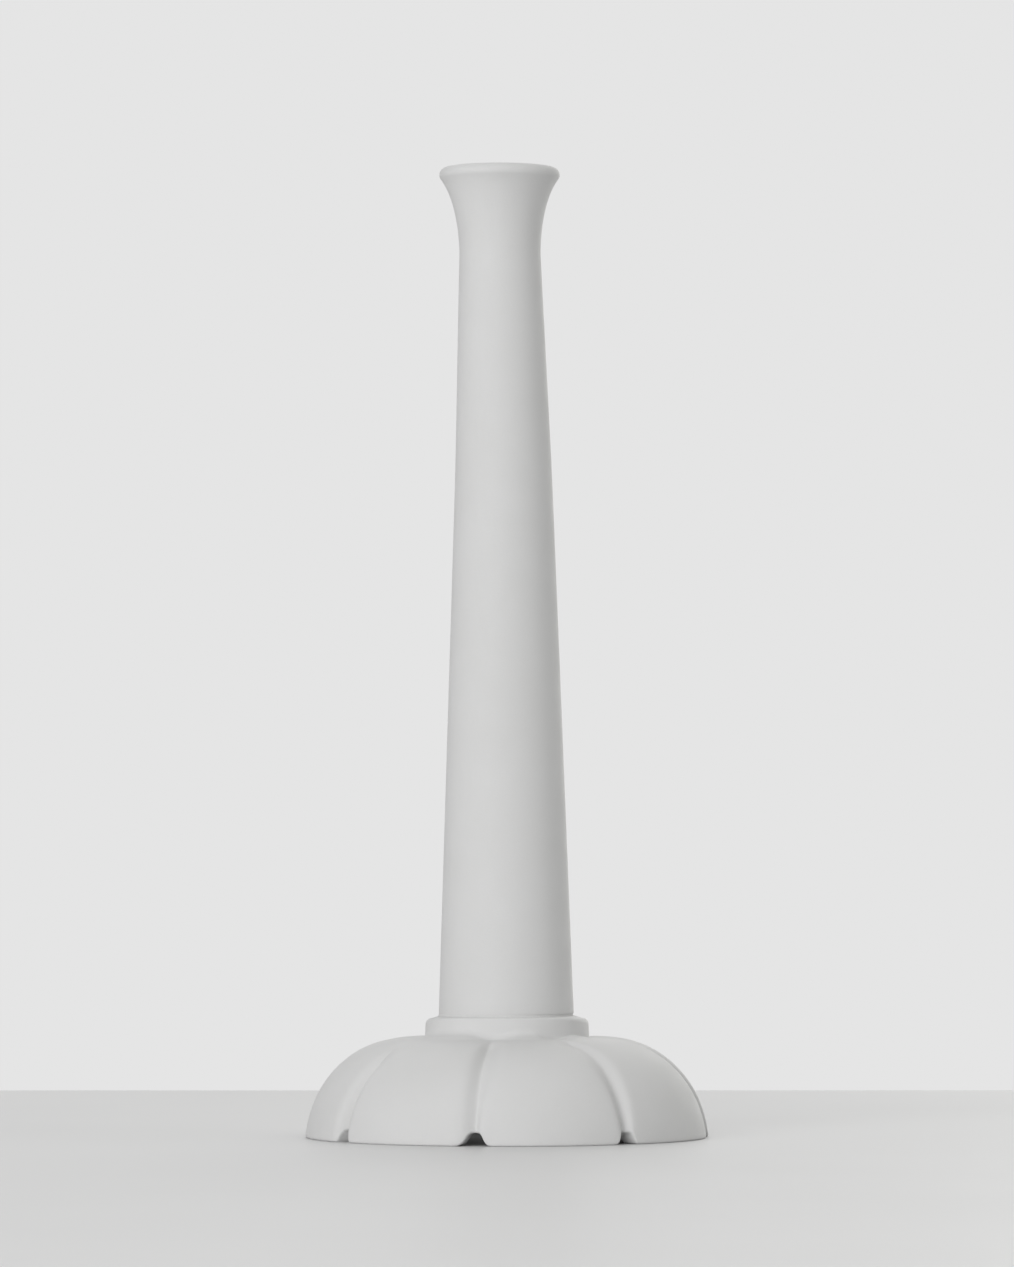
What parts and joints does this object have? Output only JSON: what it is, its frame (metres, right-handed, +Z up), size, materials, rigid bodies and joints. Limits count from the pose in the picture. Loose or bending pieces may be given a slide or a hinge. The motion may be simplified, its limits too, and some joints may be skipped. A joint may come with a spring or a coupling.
{
  "type": "bud vase",
  "caption": "Matt white porcelain bud vase: a tall tapered stem with a flared mouth, on a collar ring and a low hollow foot of grooved lobes with arched notches at its rim.",
  "frame": {"origin": "centre of the foot's underside, on the axis of the vase, in the plane that it stands on", "axes": "+Z up along the axis; the middle of one lobe faces -Y"},
  "size_m": [0.104, 0.104, 0.25],
  "materials": {
    "porcelain": "matt, unglazed",
    "joint_compound": "matt"
  },
  "bodies": {
    "root": {"stem": "porcelain", "stem_floor": "porcelain", "collar": "porcelain", "foot": "porcelain", "stem_joint_bed": "joint_compound", "collar_joint_bed": "joint_compound"}
  },
  "joints": []
}
